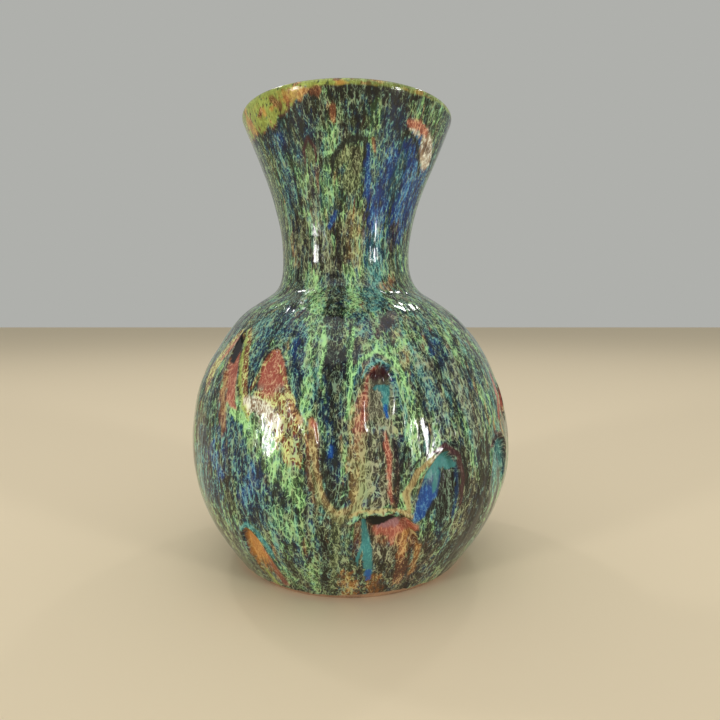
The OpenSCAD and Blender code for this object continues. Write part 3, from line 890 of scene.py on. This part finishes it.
def glaze_material(name):
    """Running glaze: pits, body and veins in the colours that the mesh carries."""
    material, tree, add, body = shader(name)
    colour = {k: add("ShaderNodeAttribute", attribute_name=k).outputs["Color"]
              for k in ("pits", "body", "veins")}
    flow = add("ShaderNodeAttribute", attribute_name="flow").outputs["Vector"]
    cover = add("ShaderNodeAttribute", attribute_name="cover").outputs["Fac"]

    # The flow sways a little, so that no line runs straight
    sway = waves(add, flow, (4.0, 4.0, 8.0), 2.0, 0.5, output="Color")
    sway = add("ShaderNodeVectorMath", {0: sway, 1: (0.5, 0.5, 0.5)}, operation="SUBTRACT").outputs[0]
    bent = add("ShaderNodeVectorMath", {0: sway, 1: (3.6, 3.6, 9.0), 2: flow},
               operation="MULTIPLY_ADD").outputs[0]

    def net(size, shift):
        """Distance from the walls of a net of cells of the given lengths in millimetres."""
        moved = add("ShaderNodeVectorMath", {0: bent, 1: (shift, shift, shift)}, operation="ADD")
        cells = stretched(add, moved.outputs[0], size)
        return add("ShaderNodeTexVoronoi", {"Vector": cells, "Scale": 1.0},
                   feature="DISTANCE_TO_EDGE").outputs[0]

    # The level of the veins: about a half where they are neither thick nor thin
    clouds = waves(add, bent, (6.0, 6.0, 20.0), 3.0, 0.55, 0.5)
    threads = waves(add, flow, (1.4, 1.4, 3.6), 4.0, 0.65, 0.8)
    specks = waves(add, flow, (0.7, 0.7, 1.1), 3.0, 0.6, 0.3)
    level = maths(add, "MULTIPLY", cover, 0.9)
    level = maths(add, "MULTIPLY_ADD", clouds, 0.5, level)
    level = maths(add, "MULTIPLY_ADD", threads, 0.8, level)
    level = maths(add, "SUBTRACT", level, 0.60)

    width = maths(add, "MULTIPLY_ADD", level, 0.42, -0.165)
    broad = remap(add, maths(add, "SUBTRACT", width, net((3.0, 3.0, 8.0), 11.7)), -0.03, 0.03)
    thin = remap(add, maths(add, "SUBTRACT", width, net((1.6, 1.6, 3.6), 3.1)), -0.05, 0.05, 0.0, 0.8)
    veins = maths(add, "MAXIMUM", broad, thin)
    deep = remap(add, maths(add, "ADD", specks, level), 0.85, 1.25)

    tone = blend(add, deep, colour["pits"], colour["body"])
    tone = blend(add, veins, tone, colour["veins"])
    tree.links.new(tone, body.inputs["Base Color"])
    body.inputs["IOR"].default_value = 1.5
    body.inputs["Specular IOR Level"].default_value = 0.36
    tree.links.new(remap(add, specks, 0.3, 0.7, 0.03, 0.09), body.inputs["Roughness"])
    peel = waves(add, flow, (4.5, 4.5, 7.0), 2.0, 0.5)
    crackle = maths(add, "MULTIPLY", veins, remap(add, cover, 0.50, 0.66, 0.1, 1.5))
    height = maths(add, "MULTIPLY_ADD", crackle, 0.6, peel)
    bumpy(add, tree, body, height, VEIN_BUMP, 0.0006)
    return material


def liner_material():
    """The lining glaze: grey-green, pooled darker and flecked with iron."""
    material, tree, add, body = shader("lining_glaze")
    mm = object_mm(add)
    cloud = waves(add, mm, (30, 30, 60), 4.0, 0.55, 0.5)
    fleck = waves(add, mm, (1.6, 1.6, 2.2), 2.0, 0.5)
    tone = blend(add, remap(add, cloud, 0.35, 0.65), opaque((74, 92, 52)), opaque((132, 148, 92)))
    tone = blend(add, remap(add, fleck, 0.66, 0.72), tone, opaque((70, 44, 22)))
    tree.links.new(tone, body.inputs["Base Color"])
    tree.links.new(remap(add, cloud, 0.3, 0.7, 0.12, 0.26), body.inputs["Roughness"])
    body.inputs["Coat Weight"].default_value = 0.4
    body.inputs["Coat Roughness"].default_value = 0.05
    bumpy(add, tree, body, cloud, 0.2, 0.001)
    return material


def clay_material(name, pale, dark):
    """Bare fired clay: stains, sandy grain and iron specks."""
    material, tree, add, body = shader(name)
    mm = object_mm(add)
    stain = waves(add, mm, (14, 14, 6), 4.0, 0.6, 0.4)
    grain = waves(add, mm, (0.7, 0.7, 0.7), 4.0, 0.7)
    speck = waves(add, mm, (1.3, 1.3, 1.3), 2.0, 0.5)
    tone = blend(add, remap(add, stain, 0.3, 0.7), opaque(dark), opaque(pale))
    tone = blend(add, remap(add, grain, 0.35, 0.75, 0.0, 0.35), tone, opaque((222, 196, 158)))
    tone = blend(add, remap(add, speck, 0.68, 0.72), tone, opaque((44, 30, 22)))
    tree.links.new(tone, body.inputs["Base Color"])
    tree.links.new(remap(add, grain, 0.3, 0.7, 0.7, 0.92), body.inputs["Roughness"])
    bumpy(add, tree, body, grain, 0.5, 0.0004)
    return material


BELLY = glaze_material("belly_running_glaze")
NECK = glaze_material("neck_running_glaze")
RIM = glaze_material("rim_lime_glaze")
LINING = liner_material()
CLAY = clay_material("bare_stoneware", (168, 128, 92), (112, 78, 52))
SLIP = clay_material("joining_slip", (176, 146, 110), (140, 110, 80))


# ------------------------------------------------------------------- pieces
def glaze_piece(name, s_low, s_high, spacing, nodes, material, low_edge=None):
    """One band of the outer glaze: its painted face, and its back against the clay."""
    turn = turns(GLAZE_COLUMNS)
    low = np.full(GLAZE_COLUMNS, s_low) if low_edge is None else low_edge(turn)
    share = np.linspace(0, 1, int((s_high - s_low) / spacing) + 1)[:, None]
    s_rows = low + (s_high - low) * share
    beyond = np.vstack([s_rows[:1] - spacing, s_rows, s_rows[-1:] + spacing])
    face = outer_rows(np.clip(beyond, 0, OUTER_S[-1]), GLAZE_COLUMNS, fine=True)
    normals = surface_normals(face)[1:-1]
    back_share = np.linspace(1, 0, int((s_high - s_low) / BACK_SPACING) + 2)[:, None]
    back = under_rows(low + (s_high - low) * back_share, GLAZE_COLUMNS, GLAZE_T, GLAZE_REACH)
    s = s_rows.ravel()
    colours, cover, flow = paint(np.tile(turn, len(s_rows)), s, np.interp(s, OUTER_S, OUTER[:, 0]))
    fields = {layer: ("FLOAT_COLOR", np.c_[colours[:, i], np.ones(len(colours))])
              for i, layer in enumerate(("pits", "body", "veins"))}
    fields["cover"] = ("FLOAT", cover)
    fields["flow"] = ("FLOAT_VECTOR", flow)
    rows = np.concatenate([face[1:-1], back])
    custom = np.concatenate([normals, surface_normals(back)])
    mesh_piece(name, rows, None, nodes, material, fields, custom)


S_FOOT = s_at(GLAZE_Z)
S_LOWER = s_at(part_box("lower_coat")[1].z / MM)
S_BELLY = s_at(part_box("belly_coat")[1].z / MM)
S_SHOULDER = s_at(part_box("shoulder_coat")[1].z / MM)
S_NECK = s_at(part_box("rim_coat")[0].z / MM + 0.4)


def glaze_line(turn):
    """Length up the outline of the ragged lower edge of the glaze."""
    p = cylinder(turn, np.full_like(turn, S_FOOT))
    lift = 1.6 * step(-25, 20, turn) * step(95, 60, turn)
    return np.clip(S_FOOT - 0.6 + lift + 1.1 * noise(p, (7, 7, 7), 81, 3), 1.0, None)


glaze_piece("lower_coat_glaze", S_FOOT, S_LOWER, 0.78, ["lower_coat", "scoop_glaze"], BELLY,
            glaze_line)
glaze_piece("belly_coat_glaze", S_LOWER, S_BELLY, 0.75, ["belly_coat"], BELLY)
glaze_piece("shoulder_coat_glaze", S_BELLY, S_SHOULDER, 0.75, ["shoulder_coat"], BELLY)
glaze_piece("neck_coat_glaze", S_SHOULDER, S_NECK, 1.3, ["neck_coat"], NECK)
glaze_piece("rim_coat_glaze", S_NECK, OUTER_S[-1], 0.5, ["rim_coat"], RIM)


SLIP_T = 1.0
FOOT_WIDTH = 12.0         # of the foot ring at its base
FOOT_EDGE = 0.8           # softening of its edges
UNDERSIDE = FOOT_Z + 0.3  # a little above the ring, so that only the wall meets it
RING_STEP = 2.0           # between the points across the underside
BELLY_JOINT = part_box("belly_joint_slip")[0].z / MM
NECK_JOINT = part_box("neck_joint_slip")[0].z / MM
LIP_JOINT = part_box("lip")[0].z / MM + 1.5


def clay_face(s_low, s_high, count, reach=CLAY_REACH):
    """Rows on the outside of the clay, behind the glaze."""
    s_rows = np.linspace(s_low, s_high, count)[:, None]
    return under_rows(s_rows, CLAY_COLUMNS, GLAZE_T + CLAY_GAP, reach)


def clay_back(z_low, z_high):
    """Rows on the inside of the clay, behind the lining, from the floor up."""
    return lining_rows(z_low, z_high, CLAY_SPACING, CLAY_COLUMNS, LINER_T)


def turned_piece(name, bands, node, material, poles=None):
    """A closed piece from bands of rows, each of them smooth in itself."""
    mesh_piece(name, np.concatenate(bands), poles, [node], material,
               custom=np.concatenate([surface_normals(band) for band in bands]))


def wall_face(z_low, z_high):
    low, high = s_at(z_low), s_at(z_high)
    return clay_face(low, high, int((high - low) / CLAY_SPACING) + 2)


def clay_piece(name, z_low, z_high, node, material):
    """A thrown section, or the slip between two: its outside follows the scoops."""
    turned_piece(name, [wall_face(z_low, z_high), clay_back(z_low, z_high)[::-1]], node, material)


def floor_piece():
    """The lower bowl: a flat underside inside the foot ring, the wall, and the dished floor."""
    wall = wall_face(FOOT_Z, BELLY_JOINT)
    radii = np.arange(RING_STEP, np.hypot(*wall[0, 0, :2]) - 1.0, RING_STEP)
    ripple = 0.25 * np.sin(radii / 2.2) * step(4, 12, radii)
    turn, r, z = np.broadcast_arrays(turns(CLAY_COLUMNS), radii[:, None], (UNDERSIDE + ripple)[:, None])
    under = place(turn, r, z)
    under[-1, :, 2] = FOOT_Z + 0.02
    back = clay_back(0, BELLY_JOINT)[:0:-1]
    poles = [(lean_x(0), 0, UNDERSIDE), (lean_x(FLOOR_Z), 0, FLOOR_Z)]
    turned_piece("lower_bowl_clay", [under, wall, back], "lower_bowl", CLAY, poles)


def foot_piece():
    """The turned foot ring, with softened edges and a little wear."""
    outer, base = (on_outline(np.array([s]), GLAZE_T)[0][0] for s in (s_at(FOOT_Z), 0.5))
    inner = base - FOOT_WIDTH
    corners = [(inner + FOOT_EDGE, 0), (base - FOOT_EDGE, 0), (base, FOOT_EDGE), (outer, FOOT_Z),
               (inner, FOOT_Z), (inner, FOOT_EDGE)]
    turn = turns(CLAY_COLUMNS)
    rows = []
    for r, z in even(np.array(corners + corners[:1], float), 0.6)[:-1]:
        level = np.full(CLAY_COLUMNS, z)
        wear = 0.18 * noise(cylinder(turn, level), (5, 5, 5), 91, 3) * (0.3 < z < FOOT_Z - 0.3)
        rows.append(place(turn, r + wear, level))
    mesh_piece("foot_ring_clay", np.array(rows), None, ["foot_ring"], CLAY)


def lip_piece():
    """The rounded lip, under the rim's glaze."""
    face = clay_face(s_at(LIP_JOINT), OUTER_S[-1] - 2.0, 24, 0.5)
    back = clay_back(LIP_JOINT, INNER[-1, 1] - 1.5)[::-1]
    mesh_piece("lip_clay", np.concatenate([face, back]), None, ["lip"], CLAY)


def lining_piece(name, z_low, z_high, node):
    """One band of the lining glaze, or the whole dished floor where it starts from zero."""
    hidden = clay_back(z_low, z_high)
    face = lining_rows(z_low, z_high, 1.0, CLAY_COLUMNS)[::-1]
    poles = None
    if not z_low:
        hidden, face = hidden[1:], face[:-1]
        poles = [(lean_x(FLOOR_Z), 0, FLOOR_Z), (lean_x(FLOOR_Z), 0, FLOOR_Z + LINER_T)]
    turned_piece(name, [hidden, face], node, LINING, poles)


floor_piece()
foot_piece()
clay_piece("belly_joint_slip_ring", BELLY_JOINT, BELLY_JOINT + SLIP_T, "belly_joint_slip", SLIP)
clay_piece("upper_bowl_clay", BELLY_JOINT + SLIP_T, NECK_JOINT, "upper_bowl", CLAY)
clay_piece("neck_joint_slip_ring", NECK_JOINT, NECK_JOINT + SLIP_T, "neck_joint_slip", SLIP)
clay_piece("neck_clay", NECK_JOINT + SLIP_T, LIP_JOINT, "neck", CLAY)
lip_piece()
lining_piece("bowl_lining", 0, NECK_JOINT, "bowl_liner")
lining_piece("neck_lining", NECK_JOINT, INNER[-1, 1], "neck_liner")


# ----------------------------------------------------- stage, light, camera
def plain(name, colour, rough):
    material, _, _, body = shader(name)
    body.inputs["Base Color"].default_value = opaque(colour)
    body.inputs["Roughness"].default_value = rough
    return material


def stage_sheet(name, corners, material):
    mesh = bpy.data.meshes.new(name)
    mesh.from_pydata(corners, [], [(0, 1, 2, 3)])
    mesh.materials.append(material)
    sheet = bpy.data.objects.new(name, mesh)
    bpy.context.scene.collection.objects.link(sheet)


FLOOR_REACH = 6           # of the pale floor from the vase, in metres
corners = [(FLOOR_REACH * x, FLOOR_REACH * y, 0) for x, y in ((-1, -1), (1, -1), (1, 1), (-1, 1))]
stage_sheet("pale_floor", corners, plain("floor", (232, 214, 182), 0.7))

MIDDLE = Vector((0, 0, 0.16))      # what every light points at


def softbox(name, where, size, power):
    lamp = bpy.data.lights.new(name, "AREA")
    lamp.shape = "RECTANGLE"
    lamp.size, lamp.size_y = size
    lamp.energy = power
    holder = bpy.data.objects.new(name, lamp)
    holder.location = where
    holder.rotation_euler = (MIDDLE - Vector(where)).to_track_quat("-Z", "Y").to_euler()
    bpy.context.scene.collection.objects.link(holder)


SIDES = (("left", -1), ("right", 1))
for side, x in SIDES:
    softbox(side + "_window", (3.15 * x, -2.46, 0.78), (0.46, 0.72), 45)
for side, x in SIDES:
    softbox("low_" + side, (0.95 * x, -0.74, 0.11), (0.11, 0.15), 2.2)
softbox("back_left", (-0.9, 0.8, 1.75), (0.14, 0.14), 2.5)
softbox("back_right", (0.9, 1.2, 1.9), (0.14, 0.14), 2.5)
softbox("overhead", (0, -0.4, 2.2), (2.4, 2.4), 17)

world = bpy.data.worlds.new("room")
world.use_nodes = True
background = world.node_tree.nodes["Background"]
background.inputs["Color"].default_value = (0.78, 0.79, 0.75, 1)
background.inputs["Strength"].default_value = 0.55
bpy.context.scene.world = world
bpy.context.scene.view_settings.view_transform = "Standard"

CAMERA_BACK = 1.283       # distance of the camera from the axis, in heights of the vase
CAMERA_UP = 0.561         # height of the camera, in heights of the vase
CAMERA_SIDE = 6.3         # to the right of the axis
CAMERA_PITCH = 4.84       # downward tilt, degrees
camera_data = bpy.data.cameras.new("camera")
camera_data.sensor_width = 36
camera_data.lens = 27.25
camera_data.clip_start = 0.01
camera = bpy.data.objects.new("camera", camera_data)
camera.location = Vector((CAMERA_SIDE, -CAMERA_BACK * HEIGHT, CAMERA_UP * HEIGHT)) * MM
camera.rotation_euler = (math.radians(90 - CAMERA_PITCH), 0, 0)
bpy.context.scene.collection.objects.link(camera)
bpy.context.scene.camera = camera
